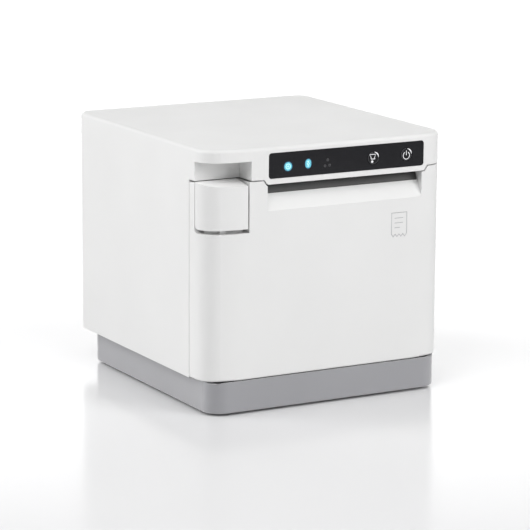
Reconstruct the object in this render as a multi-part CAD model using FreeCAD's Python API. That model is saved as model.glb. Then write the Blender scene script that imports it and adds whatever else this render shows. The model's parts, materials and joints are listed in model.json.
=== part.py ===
import FreeCAD, Part
import math
import os

# Receipt printer: a 130 x 139 x 125.5 mm cube for 80 mm paper rolls. Millimetres.
# X runs to the right, Y to the rear, Z up. The origin is on the table, under the middle of the casing.

V = FreeCAD.Vector
os.makedirs("parts", exist_ok=True)

# ---- overall size
WIDTH = 130.0
DEPTH = 139.0
HEIGHT = 125.5
HALF_W = WIDTH / 2
FRONT_Y = -DEPTH / 2
REAR_Y = DEPTH / 2

# ---- plan shape: each front corner is a tight arc from the side that opens into a wide one
CORNER_TIGHT_R = 11.0
CORNER_WIDE_R = 45.0
CORNER_TIGHT_TURN = math.radians(75.0)
REAR_CORNER_R = 7.0
TOP_EDGE_R = 1.9
WALL = 2.0

# ---- base
FOOT_GAP = 1.2
BASE_TOP = 16.1
BASE_SIDE_INSET = 2.5
BASE_REAR_INSET = 10.8
BASE_FRONT_R = 9.0
BASE_REAR_R = 8.0
BASE_WALL = 2.4
BASE_LIP_OUT = 1.3
BOSSES = [(-50.0, -44.0), (50.0, -44.0), (-50.0, 44.0), (50.0, 44.0)]
FEET = [(-50.0, -57.0), (50.0, -57.0), (-48.0, 30.0), (48.0, 30.0)]
COVER_SCREWS = [(-30.0, -24.0), (47.0, -24.0)]

# ---- seams between the casing and the door
SEAM_GAP = 0.5
SEAM_Y = -52.0
SEAM_Z = 110.2
PANEL_LIP_Z = 107.8
DIP_LEFT = (-35.0, -33.0)
DIP_RIGHT = (52.0, 54.0)

# ---- door and its hinge
DOOR_FOOT_GAP = 0.3
DOOR_BOTTOM = BASE_TOP + DOOR_FOOT_GAP
DOOR_FOOT_R = 1.0
DOOR_TOP = SEAM_Z - 0.6
DOOR_REAR = SEAM_Y - SEAM_GAP
DOOR_WALL = 2.2
HINGE_Y = -66.3
HINGE_Z = 19.8
HINGE_PIN_R = 1.0
HINGE_EAR_R = 1.9
HINGE_BARREL_R = 2.4
HINGE_X = 43.5
HINGE_EAR_W = 3.4
HINGE_BARREL_W = 5.0
RELIEF_Y = -57.3
RELIEF_DROP = 0.65
DOOR_SCREWS = [(-43.0, 78.0), (45.0, 76.5), (-43.0, 30.0), (45.0, 29.0)]
CHEEKS = [(-34.8, -32.9), (50.5, 52.4)]
LUGS = [(-52.0, -49.5), (53.2, 55.7)]

# ---- paper path: the roll is 80 mm wide and off centre, to leave the left corner to the lever
PAPER_X = 8.8
PAPER_W = 80.0
SLOT_W = 84.0
SLOT_X0 = PAPER_X - SLOT_W / 2
SLOT_X1 = PAPER_X + SLOT_W / 2
SLOPE_FOOT_Z = 95.4
SLOPE_TOP_Y = -65.2
SLOPE_TOP_Z = 102.9
PLATEN_R = 6.0
PLATEN_Y = -55.8
PLATEN_Z = 99.0
PLATEN_SHAFT_R = 2.5
HEAD_TILT = 12.0
PAPER_GAP = 0.1
BEARING_R = 3.6
HEAD_SPRING_X = (-10.0, 27.6)
HEAD_SPRING_Y = -48.0

# ---- release lever and latch
LEVER_BOTTOM = 87.9
LEVER_GAP_BOTTOM = 2.0
LEVER_REAR = -58.0
LEVER_RIGHT = -43.4
LEVER_WINDOW_REAR = -57.5
LEVER_WINDOW_RIGHT = -42.6
LEVER_EDGE_Z = 107.9
LEVER_PEAK_Z = 109.9
NOTCH_TOP = 119.3
NOTCH_RIGHT = -41.6
NOTCH_REAR = -57.6
LATCH_Y = -58.5
LATCH_Z = 80.0
LATCH_SHAFT_R = 2.0
LATCH_CRANK = 6.2
TAIL_X = (-56.0, -53.0)
TAIL_Y = (-65.6, -64.4)
SKIRT_GAP = 0.35
POST_Y = -46.0
POST_Z = 90.0
POST_R = 1.5

# ---- control panel
PANEL_X0 = -32.7
PANEL_X1 = 51.6
PANEL_Z0 = 110.3
PANEL_Z1 = 122.4
PANEL_T = 1.6
FEED_XZ = (23.6, 116.0)
POWER_XZ = (41.8, 116.3)
LED_XZ = ((-22.4, 115.5), (-11.7, 116.0))
LED_HALF = ((2.0, 2.0), (1.5, 2.1))
BUTTON_R = 3.2
BUTTON_TRAVEL = 0.5
SWITCH_Y = -65.0
PANEL_BOARD_Y = -63.6

# ---- the plain receipt symbol on the door
MARK_X = (34.2, 42.6)
MARK_Z = (77.0, 88.6)
MARK_TEETH = 4
GROOVE_W = 0.35
GROOVE_DEPTH = 0.2

# ---- gears
MODULE = 0.6
PLATEN_TEETH = 18
IDLER_TEETH = 24
MOTOR_TEETH = 12
CUTTER_TEETH = 10
MESH_SLACK = 0.06
GEAR_X0 = -40.6
GEAR_W = 3.0
PRESSURE_ANGLE = 20.0
MOTOR_DIRECTION = -45.0

# ---- side plates, cutter and rear recess
MECH_X0 = -36.5
MECH_X1 = 54.2
SHEET_T = 1.2
SIDE_X = 56.0
BLADE_X0 = -34.0
BLADE_X1 = 51.4
BLADE_Y = -62.25
BLADE_T = 0.8
BLADE_EDGE_Z = 107.6
FIXED_EDGE_Z = 106.2
BLADE_TOP = 111.6
RACK_X = 36.0
RACK_TOP = 121.2
RACK_STEPS = (-1, 0, 1, 2)
CUTTER_PINION_Z = 116.0
BUCKET_Y = -8.0
BUCKET_Z = 62.0
BUCKET_R = 42.0
TRAY_Z = 12.0
TRAY_T = 2.5
RECESS_X = 54.0
RECESS_TOP = 54.0
REAR_PLATE_Y = 56.7
MAIN_BOARD_Y = 44.0
BOARD_T = 1.6
SOCKET_FACE_Y = REAR_PLATE_Y + 1.9

# ---- sockets in the rear plate
SOCKETS = {
    "power_socket": (41.0, 28.0, 12.0, 12.0),
    "usb_b_socket": (20.0, 28.5, 12.1, 10.9),
    "usb_a_socket": (0.5, 26.5, 14.4, 7.0),
    "network_socket": (-20.5, 29.5, 16.0, 13.5),
    "drawer_socket": (-41.5, 29.5, 13.2, 13.5),
}
SOCKET_MOUTHS = {
    "power_socket": None,
    "usb_b_socket": (8.6, 8.0, 9.0),
    "usb_a_socket": (12.6, 5.2, 9.0),
    "network_socket": (12.0, 9.0, 10.0),
    "drawer_socket": (9.8, 8.0, 10.0),
}


def save(shape, node):
    """Write one node and say what it holds."""
    if not shape.isValid():
        raise ValueError(node + " is not valid")
    shape.exportStep("parts/%s.step" % node)
    print("%-22s solids %2d  volume %9.1f" % (node, len(shape.Solids), shape.Volume))


def box(x0, x1, y0, y1, z0, z1):
    """A box from its limits on each axis."""
    return Part.makeBox(x1 - x0, y1 - y0, z1 - z0, V(x0, y0, z0))


def rod_x(x0, x1, y, z, r):
    """A cylinder along X."""
    return Part.makeCylinder(r, x1 - x0, V(x0, y, z), V(1, 0, 0))


def rod_y(x, y0, y1, z, r):
    """A cylinder along Y."""
    return Part.makeCylinder(r, y1 - y0, V(x, y0, z), V(0, 1, 0))


def rod_z(x, y, z0, z1, r):
    """A cylinder along Z."""
    return Part.makeCylinder(r, z1 - z0, V(x, y, z0), V(0, 0, 1))


def ring_x(x0, x1, y, z, r_out, r_in):
    """A tube along X."""
    return rod_x(x0, x1, y, z, r_out).cut(rod_x(x0 - 1, x1 + 1, y, z, r_in))


def prism_x(points, x0, x1):
    """Extrude a closed outline of (y, z) points along X."""
    wire = Part.makePolygon([V(x0, y, z) for y, z in points + points[:1]])
    return Part.Face(wire).extrude(V(x1 - x0, 0, 0))


def prism_y(points, y0, y1):
    """Extrude a closed outline of (x, z) points along Y."""
    wire = Part.makePolygon([V(x, y0, z) for x, z in points + points[:1]])
    return Part.Face(wire).extrude(V(0, y1 - y0, 0))


def rounded_panel(x0, x1, y0, y1, z0, z1, r):
    """A plate in the XZ plane with rounded corners."""
    plate = box(x0, x1, y0, y1, z0, z1)
    edges = [e for e in plate.Edges if abs(e.tangentAt(e.FirstParameter).y) > 0.9]
    return plate.makeFillet(r, edges)


def arc(cx, cy, r, a0, a1):
    """An arc in plan from angle a0 to a1, in radians."""
    points = [V(cx + r * math.cos(a), cy + r * math.sin(a), 0) for a in (a0, (a0 + a1) / 2, a1)]
    return Part.Arc(*points).toShape()


def front_corner(inset):
    """The left front corner of the casing as its two arcs, from the side round to the front."""
    turn = CORNER_TIGHT_TURN
    length = CORNER_TIGHT_R * math.sin(turn) + CORNER_WIDE_R * (1 - math.sin(turn))
    cx = -HALF_W + CORNER_TIGHT_R
    cy = FRONT_Y + length
    step = CORNER_WIDE_R - CORNER_TIGHT_R
    wide_x = cx + step * math.cos(turn)
    wide_y = cy + step * math.sin(turn)
    tight = arc(cx, cy, CORNER_TIGHT_R - inset, math.pi, math.pi + turn)
    wide = arc(wide_x, wide_y, CORNER_WIDE_R - inset, math.pi + turn, 1.5 * math.pi)
    return [tight, wide]


def casing_wire(inset, rear_y=REAR_Y, rear_r=REAR_CORNER_R):
    """The casing's outline in plan, moved inwards by inset."""
    left = front_corner(inset)
    right = [e.mirror(V(0, 0, 0), V(1, 0, 0)) for e in left]
    side_y = left[0].valueAt(left[0].FirstParameter).y
    front_x = left[1].valueAt(left[1].LastParameter).x
    half = HALF_W - inset
    front = FRONT_Y + inset
    rear = rear_y - inset
    edges = list(left) + right
    edges.append(Part.makeLine(V(front_x, front, 0), V(-front_x, front, 0)))
    r = max(rear_r - inset, 0.0)
    if r > 0.1:
        edges.append(arc(half - r, rear - r, r, 0, math.pi / 2))
        edges.append(arc(-half + r, rear - r, r, math.pi / 2, math.pi))
    edges.append(Part.makeLine(V(half, side_y, 0), V(half, rear - r, 0)))
    edges.append(Part.makeLine(V(-half, side_y, 0), V(-half, rear - r, 0)))
    edges.append(Part.makeLine(V(half - r, rear, 0), V(-half + r, rear, 0)))
    return Part.Wire(Part.__sortEdges__(edges))


def casing_prism(inset, z0, z1):
    """The casing's outline as a solid between two heights."""
    solid = Part.Face(casing_wire(inset)).extrude(V(0, 0, z1 - z0))
    return solid.translate(V(0, 0, z0))


def base_prism(inset, z0, z1):
    """The base's outline as a solid between two heights, flush with the door at the front."""
    x = HALF_W - BASE_SIDE_INSET - inset
    y0 = FRONT_Y + 0.1 + inset
    y1 = REAR_Y - BASE_REAR_INSET - inset
    solid = box(-x, x, y0, y1, z0, z1)
    upright = [e for e in solid.Edges if abs(e.tangentAt(e.FirstParameter).z) > 0.9]
    front = [e for e in upright if e.CenterOfMass.y < 0]
    rear = [e for e in upright if e.CenterOfMass.y > 0]
    solid = solid.makeFillet(BASE_FRONT_R - inset, front)
    rear = [e for e in solid.Edges if abs(e.tangentAt(e.FirstParameter).z) > 0.9
            and e.CenterOfMass.y > y1 - 0.01 and abs(e.CenterOfMass.x) > x - 0.01]
    return solid.makeFillet(BASE_REAR_R - inset, rear)


def gear(teeth, x0, width, y, z, bore_r, phase):
    """A spur gear along X with involute flanks; phase turns it, in degrees."""
    pitch_r = MODULE * teeth / 2
    base_r = pitch_r * math.cos(math.radians(PRESSURE_ANGLE))
    tip_r = pitch_r + MODULE
    root_r = pitch_r - 1.25 * MODULE

    def involute(r):
        if r <= base_r:
            return 0.0
        a = math.acos(base_r / r)
        return math.tan(a) - a

    half_pitch = math.pi / (2 * teeth) - 0.04 / pitch_r
    points = []
    radii = [root_r] + [max(base_r, root_r) + (tip_r - max(base_r, root_r)) * k / 4 for k in range(5)]
    for tooth in range(teeth):
        middle = 2 * math.pi * tooth / teeth + math.radians(phase)
        flank = [half_pitch + involute(pitch_r) - involute(r) for r in radii]
        for r, a in zip(radii, flank):
            points.append((y + r * math.cos(middle - a), z + r * math.sin(middle - a)))
        for r, a in reversed(list(zip(radii, flank))):
            points.append((y + r * math.cos(middle + a), z + r * math.sin(middle + a)))
    solid = prism_x(points, x0, x0 + width)
    return solid.cut(rod_x(x0 - 1, x0 + width + 1, y, z, bore_r))


def mesh_phase(teeth, driver_teeth, driver_phase, direction):
    """The phase that puts a gear's gap on the driver's tooth; direction points from driver to gear."""
    driver_pitch = 360.0 / driver_teeth
    offset = (direction - driver_phase) / driver_pitch
    return direction + 180.0 + (offset + 0.5) * 360.0 / teeth


def hex_screw(x, y, z0, length, head_r, r):
    """A pan head screw along Z with its head at the bottom."""
    head = rod_z(x, y, z0, z0 + 1.2, head_r)
    slot = box(x - 0.3, x + 0.3, y - head_r * 0.7, y + head_r * 0.7, z0 - 0.1, z0 + 0.6)
    cross = box(x - head_r * 0.7, x + head_r * 0.7, y - 0.3, y + 0.3, z0 - 0.1, z0 + 0.6)
    return head.cut(slot).cut(cross).fuse(rod_z(x, y, z0 + 1.2, z0 + 1.2 + length, r))


# ---- outer casing ----------------------------------------------------------

def make_casing():
    """The white cover: top, sides, rear and the front strip that holds the control panel."""
    outer = casing_prism(0, BASE_TOP, HEIGHT)
    rim = [e for e in outer.Edges if e.CenterOfMass.z > HEIGHT - 0.01]
    outer = outer.makeFillet(TOP_EDGE_R, rim)
    shell = outer.cut(casing_prism(WALL, BASE_TOP - 1, HEIGHT - WALL))
    shell = shell.fuse(make_notch_pocket().common(outer))
    shell = shell.fuse(make_recess_walls().common(casing_prism(0.5, BASE_TOP, HEIGHT)))
    seam = [(-80, 10), (-80, SEAM_Z), (DIP_LEFT[0], SEAM_Z), (DIP_LEFT[1], PANEL_LIP_Z),
            (DIP_RIGHT[0], PANEL_LIP_Z), (DIP_RIGHT[1], SEAM_Z), (80, SEAM_Z), (80, 10)]
    shell = shell.cut(prism_y(seam, FRONT_Y - 5, SEAM_Y))
    shell = shell.cut(box(-HALF_W - 1, NOTCH_RIGHT, FRONT_Y - 1, NOTCH_REAR, SEAM_Z - 5, NOTCH_TOP))
    window = rounded_panel(PANEL_X0, PANEL_X1, FRONT_Y - 1, FRONT_Y + 5, PANEL_Z0, PANEL_Z1, 1.5)
    shell = shell.cut(window)
    shell = shell.cut(box(-RECESS_X, RECESS_X, REAR_PLATE_Y - 0.1, REAR_Y + 1, BASE_TOP - 1, RECESS_TOP))
    for x, y in COVER_SCREWS:
        boss = rod_z(x, y, HEIGHT - WALL - 3.0, HEIGHT - WALL + 0.5, 3.0)
        shell = shell.fuse(boss)
        shell = shell.cut(rod_z(x, y, HEIGHT - WALL - 4.0, HEIGHT - WALL - 0.4, 1.25))
    return shell.removeSplitter()


def make_notch_pocket():
    """The walls behind the finger notch above the lever, before the notch is cut."""
    return box(-HALF_W, NOTCH_RIGHT + WALL, FRONT_Y, NOTCH_REAR + WALL, SEAM_Z, NOTCH_TOP + WALL)


def make_recess_walls():
    """The cheeks and roof of the connector recess in the rear."""
    block = box(-RECESS_X - WALL, RECESS_X + WALL, REAR_PLATE_Y + 1.6, REAR_Y, BASE_TOP, RECESS_TOP + WALL)
    return block


def make_base():
    """The grey base: a tray with a floor, flush with the door and set in from the casing elsewhere."""
    outer = base_prism(0, FOOT_GAP, BASE_TOP)
    rear = REAR_Y - BASE_REAR_INSET
    lip = [(rear - 1.0, 2.4), (rear + BASE_LIP_OUT, 3.6), (rear + BASE_LIP_OUT, 8.2), (rear - 1.0, 10.2)]
    outer = outer.fuse(prism_x(lip, -44.0, 44.0))
    bottom = [e for e in outer.Edges if abs(e.CenterOfMass.z - FOOT_GAP) < 0.01]
    outer = outer.makeFillet(0.8, bottom)
    tray = outer.cut(base_prism(BASE_WALL, FOOT_GAP + BASE_WALL, BASE_TOP + 1))
    upstand = base_prism(BASE_WALL / 2, BASE_TOP - 4, BASE_TOP + 3)
    upstand = upstand.cut(base_prism(BASE_WALL, BASE_TOP - 5, BASE_TOP + 4))
    upstand = upstand.common(box(-HALF_W, HALF_W, SEAM_Y + 2, REAR_Y - 22, BASE_TOP - 4, BASE_TOP + 3))
    tray = tray.fuse(upstand)
    sweep = rod_x(-HALF_W, HALF_W, HINGE_Y, HINGE_Z, HINGE_Z - BASE_TOP + 0.75)
    tray = tray.cut(sweep.common(box(-HALF_W, HALF_W, FRONT_Y + 0.85, HINGE_Y + 9, 10, HINGE_Z)))
    for x, y in BOSSES:
        tray = tray.fuse(rod_z(x, y, FOOT_GAP + 1, TRAY_Z, 4.0))
        tray = tray.cut(rod_z(x, y, FOOT_GAP - 1, TRAY_Z + 1, 1.7))
        tray = tray.cut(rod_z(x, y, FOOT_GAP - 1, FOOT_GAP + 1.6, 3.2))
    for k in range(7):
        x = -24.0 + 8.0 * k
        tray = tray.cut(box(x, x + 3.0, -4.0, 24.0, FOOT_GAP - 1, FOOT_GAP + BASE_WALL + 1))
    for x, y in FEET:
        tray = tray.cut(rod_z(x, y, FOOT_GAP - 1, FOOT_GAP + 0.6, 6.1))
    return tray.removeSplitter()


def make_feet():
    """Four round rubber feet in shallow sockets under the base."""
    feet = []
    for x, y in FEET:
        foot = rod_z(x, y, 0, FOOT_GAP + 0.6, 6.0)
        edge = [e for e in foot.Edges if e.CenterOfMass.z < 0.01 and e.Length > 20]
        feet.append(foot.makeFillet(0.4, edge))
    return Part.makeCompound(feet)


def make_base_screws():
    """The screws that hold the inner tray down through the base."""
    return Part.makeCompound([hex_screw(x, y, FOOT_GAP + 0.3, TRAY_Z + TRAY_T - FOOT_GAP - 1.0, 2.9, 1.5)
                              for x, y in BOSSES])


# ---- inner frame -----------------------------------------------------------

def make_tray():
    """The moulded inner tray that everything inside stands on."""
    tray = box(-58.0, 58.0, -59.0, 54.0, TRAY_Z, TRAY_Z + TRAY_T)
    tray = tray.cut(box(-40.0, 40.0, -30.0, 30.0, TRAY_Z - 1, TRAY_Z + TRAY_T + 1))
    tray = tray.fuse(box(-58.0, -55.5, -48.0, 54.0, TRAY_Z, TRAY_Z + 8.0))
    tray = tray.fuse(box(55.5, 58.0, -48.0, 54.0, TRAY_Z, TRAY_Z + 8.0))
    tray = tray.cut(box(-57.2 - 0.05, -56.0 + 0.05, -46.1, 50.1, TRAY_Z + TRAY_T, TRAY_Z + 9))
    tray = tray.cut(box(56.0 - 0.05, 57.2 + 0.05, -46.1, 50.1, TRAY_Z + TRAY_T, TRAY_Z + 9))
    for x, y in BOSSES:
        tray = tray.cut(rod_z(x, y, TRAY_Z - 1, TRAY_Z + TRAY_T + 1, 1.55))
    return tray.removeSplitter()


def make_hinge_brackets():
    """Two steel brackets on the base that reach forward to the door's hinge line."""
    brackets = []
    for side in (-1, 1):
        x0 = side * HINGE_X - HINGE_EAR_W / 2
        x1 = x0 + HINGE_EAR_W
        ear = rod_x(x0, x1, HINGE_Y, HINGE_Z, HINGE_EAR_R)
        arm = box(x0, x1, HINGE_Y, -59.6, HINGE_Z - 1.2, HINGE_Z + HINGE_EAR_R)
        leg = box(x0, x1, -61.4, -59.6, FOOT_GAP + BASE_WALL, HINGE_Z + HINGE_EAR_R)
        foot = box(x0, x1, -61.4, -52.0, FOOT_GAP + BASE_WALL, FOOT_GAP + BASE_WALL + 1.8)
        bracket = ear.fuse([arm, leg, foot])
        brackets.append(bracket.cut(rod_x(x0 - 1, x1 + 1, HINGE_Y, HINGE_Z, HINGE_PIN_R + 0.04)))
    return Part.makeCompound([b.removeSplitter() for b in brackets])


def make_hinge_pins():
    """The two steel pins that the door's barrels turn on."""
    length = HINGE_EAR_W + 2 * HINGE_BARREL_W
    return Part.makeCompound([rod_x(side * HINGE_X - length / 2, side * HINGE_X + length / 2,
                                    HINGE_Y, HINGE_Z, HINGE_PIN_R) for side in (-1, 1)])


def make_side_plate(side):
    """A sheet steel side plate with lightening windows."""
    x0 = SIDE_X if side > 0 else -SIDE_X - SHEET_T
    x1 = x0 + SHEET_T
    outline = [(-46.0, TRAY_Z + TRAY_T), (50.0, TRAY_Z + TRAY_T), (50.0, 96.0), (30.0, 112.0),
               (-50.0, 112.0), (-50.0, 84.0), (-46.0, 78.0)]
    plate = prism_x(outline, x0, x1)
    for y0, y1 in ((-36.0, -8.0), (2.0, 30.0)):
        window = box(x0 - 1, x1 + 1, y0, y1, 26.0, 70.0)
        edges = [e for e in window.Edges if abs(e.tangentAt(e.FirstParameter).x) > 0.9]
        plate = plate.cut(window.makeFillet(5.0, edges))
    plate = plate.cut(rod_x(x0 - 1, x1 + 1, POST_Y, POST_Z, 1.0))
    for y in (-30.0, 20.0):
        tab = box(min(x0, x0 - side * 6), max(x1, x1 - side * 6), y, y + 12, 110.8, 112.0)
        plate = plate.fuse(tab)
    return plate.removeSplitter()


def make_latch_posts():
    """A riveted post on each side plate for the door's hooks."""
    posts = []
    for side in (-1, 1):
        face = side * (SIDE_X + SHEET_T)
        x0, x1 = sorted((face, side * 61.0))
        post = rod_x(x0, x1, POST_Y, POST_Z, POST_R)
        n0, n1 = sorted((face, side * SIDE_X))
        posts.append(post.fuse(rod_x(n0, n1, POST_Y, POST_Z, 0.98)).removeSplitter())
    return Part.makeCompound(posts)


def make_bucket():
    """The paper well: a round trough under the roll, closed at both ends and open to the front."""
    x0 = PAPER_X - 42.3
    x1 = PAPER_X + 42.3
    inner0 = PAPER_X - 40.7
    inner1 = PAPER_X + 40.7
    rear = BUCKET_Y + BUCKET_R
    top = 92.0
    outer = rod_x(x0, x1, BUCKET_Y, BUCKET_Z, BUCKET_R + 2.0)
    outer = outer.fuse(box(x0, x1, BUCKET_Y, rear + 2.0, BUCKET_Z, top))
    outer = outer.fuse(box(x0, x1, BUCKET_Y - 42.0, BUCKET_Y, BUCKET_Z, top - 12))
    hollow = rod_x(inner0, inner1, BUCKET_Y, BUCKET_Z, BUCKET_R)
    hollow = hollow.fuse(box(inner0, inner1, BUCKET_Y - 60, rear, BUCKET_Z, top + 30))
    hollow = hollow.fuse(box(inner0, inner1, BUCKET_Y - 60, BUCKET_Y - 20, 30.0, BUCKET_Z))
    bucket = outer.cut(hollow)
    bucket = bucket.common(box(x0, x1, BUCKET_Y - 44.0, rear + 2.0, 0, top))
    for x in (x0, x0 + 22.0, x1 - 24.0, x1 - 2.0):
        for y0, y1 in ((-40.0, -30.5), (30.5, 33.0)):
            rib = box(x, x + 2.0, y0, y1, TRAY_Z + TRAY_T, BUCKET_Z)
            bucket = bucket.fuse(rib.cut(rod_x(x - 1, x + 3, BUCKET_Y, BUCKET_Z, BUCKET_R + 1.0)))
    bucket = bucket.cut(box(inner0, inner1, BUCKET_Y - 60, BUCKET_Y - 20, 30.0, top + 30))
    return bucket.removeSplitter()


def make_mech_frame():
    """The bent steel frame that carries the head and cutter, open at the front for the platen shaft."""
    top = 119.6
    outline = [(-50.0, TRAY_Z + TRAY_T), (-40.5, TRAY_Z + TRAY_T), (-40.5, 70.0), (-30.0, 84.0),
               (-30.0, top), (-60.5, top), (-60.5, 103.0), (-50.4, 103.0), (-50.4, 95.2),
               (-59.0, 95.2), (-59.0, 92.0), (-50.0, 86.0)]
    left = prism_x(outline, MECH_X0, MECH_X0 + SHEET_T)
    right = prism_x(outline, MECH_X1, MECH_X1 + SHEET_T)
    roof = box(MECH_X0, MECH_X1 + SHEET_T, -58.0, -30.0, top - SHEET_T, top)
    frame = left.fuse([right, roof])
    for x, y in COVER_SCREWS:
        frame = frame.fuse(box(x - 5, x + 5, y - 7, y + 5, top - SHEET_T, top))
        frame = frame.cut(rod_z(x, y, top - 3, top + 1, 1.5))
    for x in HEAD_SPRING_X:
        frame = frame.cut(rod_z(x, HEAD_SPRING_Y, top - 3, top + 1, 1.2))
    idler_y, idler_z = idler_centre()
    frame = frame.cut(rod_x(MECH_X0 - 1, MECH_X0 + 3, idler_y, idler_z, 1.2))
    return frame.removeSplitter()


def make_drive_bracket():
    """The plate outside the gears that holds the feed motor and the idler's outer end."""
    x0 = -44.4
    x1 = x0 + SHEET_T
    idler_y, idler_z = idler_centre()
    motor_y, motor_z = motor_centre()
    plate = box(x0, x1, -50.5, -20.0, 76.0, 106.0)
    plate = plate.cut(rod_x(x0 - 1, x1 + 1, motor_y, motor_z, 5.1))
    plate = plate.cut(rod_x(x0 - 1, x1 + 1, idler_y, idler_z, 1.2))
    spacers = [box(x1, MECH_X0, -34.0, -31.0, 102.5, 106.0), box(x1, MECH_X0, -49.5, -47.0, 78.0, 81.0)]
    return plate.fuse(spacers).removeSplitter()


def idler_centre():
    """The idler stands straight behind the platen along the door's path, so the teeth part freely."""
    dy = PLATEN_Y - HINGE_Y
    dz = PLATEN_Z - HINGE_Z
    reach = math.hypot(dy, dz)
    distance = MODULE * (PLATEN_TEETH + IDLER_TEETH) / 2 + MESH_SLACK
    return PLATEN_Y + distance * dz / reach, PLATEN_Z - distance * dy / reach


def motor_centre():
    """The motor's pinion below and behind the idler."""
    idler_y, idler_z = idler_centre()
    distance = MODULE * (MOTOR_TEETH + IDLER_TEETH) / 2 + MESH_SLACK
    turn = math.radians(MOTOR_DIRECTION)
    return idler_y + distance * math.cos(turn), idler_z + distance * math.sin(turn)


# ---- door ------------------------------------------------------------------

def make_door():
    """The white front door with the paper slope, its side returns and the lever's window."""
    outer = casing_prism(0, DOOR_BOTTOM, DOOR_TOP).common(
        box(-HALF_W, HALF_W, FRONT_Y, DOOR_REAR, DOOR_BOTTOM, DOOR_TOP))
    bottom = [e for e in outer.Edges if e.CenterOfMass.z < DOOR_BOTTOM + 0.01
              and e.CenterOfMass.y < DOOR_REAR - 0.5 and abs(e.CenterOfMass.x) < HALF_W - 0.01]
    outer = outer.makeFillet(DOOR_FOOT_R, bottom)
    skin = outer.cut(casing_prism(DOOR_WALL, DOOR_BOTTOM - 1, DOOR_TOP + 1))
    relief = [(RELIEF_Y, DOOR_TOP + 0.01), (DOOR_REAR + 1, DOOR_TOP + 0.01),
              (DOOR_REAR + 1, DOOR_TOP - RELIEF_DROP * 1.2), (RELIEF_Y, DOOR_TOP)]
    skin = skin.cut(prism_x(relief, -80, 80))
    skin = skin.fuse(make_chute().common(casing_prism(0, DOOR_BOTTOM, DOOR_TOP)))
    gate = [(DIP_LEFT[0] - SEAM_GAP, 120.0), (DIP_LEFT[0] - SEAM_GAP, DOOR_TOP),
            (DIP_LEFT[1] - SEAM_GAP, PANEL_LIP_Z - 0.6), (DIP_RIGHT[0] + SEAM_GAP, PANEL_LIP_Z - 0.6),
            (DIP_RIGHT[1] + SEAM_GAP, DOOR_TOP), (DIP_RIGHT[1] + SEAM_GAP, 120.0)]
    skin = skin.cut(prism_y(gate, FRONT_Y - 1, SEAM_Y))
    skin = open_slot(skin)
    skin = skin.fuse(make_lever_pocket().common(casing_prism(0, DOOR_BOTTOM, DOOR_TOP)))
    skin = skin.cut(lever_window())
    for side in (-1, 1):
        skin = add_barrels(skin, side)
    return skin.removeSplitter().cut(make_receipt_mark())


def make_receipt_mark():
    """The grooves of a plain receipt symbol on the door: torn foot, square head and three lines."""
    x0, x1 = MARK_X
    z0, z1 = MARK_Z
    step = (x1 - x0) / MARK_TEETH
    foot = []
    for k in range(MARK_TEETH):
        foot += [(x0 + step * (k + 0.5), z0), (x0 + step * (k + 1), z0 + 1.3)]
    outline = [(x0, z1), (x0, z0 + 1.3)] + foot + [(x1, z1), (x0, z1)]
    runs = [outline]
    for k, share in enumerate((0.7, 0.7, 0.45)):
        z = z1 - 2.6 - 2.3 * k
        runs.append([(x0 + 1.6, z), (x0 + 1.6 + share * (x1 - x0 - 1.6), z)])
    cuts = []
    for run in runs:
        for (ax, az), (bx, bz) in zip(run, run[1:]):
            length = math.hypot(bx - ax, bz - az)
            px = -(bz - az) / length * GROOVE_W / 2
            pz = (bx - ax) / length * GROOVE_W / 2
            sides = [(ax + px, az + pz), (bx + px, bz + pz), (bx - px, bz - pz), (ax - px, az - pz)]
            cuts.append(prism_y(sides, FRONT_Y - 1, FRONT_Y + GROOVE_DEPTH))
            cuts.append(rod_y(bx, FRONT_Y - 1, FRONT_Y + GROOVE_DEPTH, bz, GROOVE_W / 2))
    return cuts[0].fuse(cuts[1:])


def make_chute():
    """The slope up to the paper slot and the cheeks at its ends."""
    foot_y = FRONT_Y + 1.0
    slope = [(FRONT_Y, SLOPE_FOOT_Z), (SLOPE_TOP_Y, SLOPE_TOP_Z), (SLOPE_TOP_Y + 1.3, SLOPE_TOP_Z - 0.75),
             (FRONT_Y + DOOR_WALL, SLOPE_FOOT_Z - 3.0), (foot_y, SLOPE_FOOT_Z - 3.0)]
    chute = prism_x(slope, SLOT_X0 - DOOR_WALL, SLOT_X1 + DOOR_WALL)
    cheek = [(FRONT_Y, SLOPE_FOOT_Z - 4.0), (-65.0, SLOPE_FOOT_Z - 4.0), (-63.2, SLOPE_TOP_Z),
             (-63.2, DOOR_TOP), (FRONT_Y, DOOR_TOP)]
    for x0 in (SLOT_X0 - DOOR_WALL, SLOT_X1):
        chute = chute.fuse(prism_x(cheek, x0, x0 + DOOR_WALL))
    return chute


def open_slot(skin):
    """Cut the space in front of and above the slope out of the door's front wall."""
    space = [(FRONT_Y - 1, SLOPE_FOOT_Z), (FRONT_Y, SLOPE_FOOT_Z), (SLOPE_TOP_Y, SLOPE_TOP_Z),
             (SLOPE_TOP_Y, 115.0), (FRONT_Y - 1, 115.0)]
    return skin.cut(prism_x(space, SLOT_X0, SLOT_X1))


def make_lever_pocket():
    """The floor, rear wall and right wall of the pocket that the lever slides in."""
    floor_z = LEVER_BOTTOM - LEVER_GAP_BOTTOM
    rear = LEVER_WINDOW_REAR
    right = LEVER_WINDOW_RIGHT
    top = DOOR_TOP - 0.1
    floor = box(-HALF_W, right + 1.2, FRONT_Y, rear + 1.2, floor_z - 1.5, floor_z)
    back = box(-HALF_W, right + 1.2, rear, rear + 1.2, floor_z - 1.5, top)
    wall = box(right, right + 1.2, FRONT_Y, rear + 1.2, floor_z - 1.5, top)
    return floor.fuse([back, wall])


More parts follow.
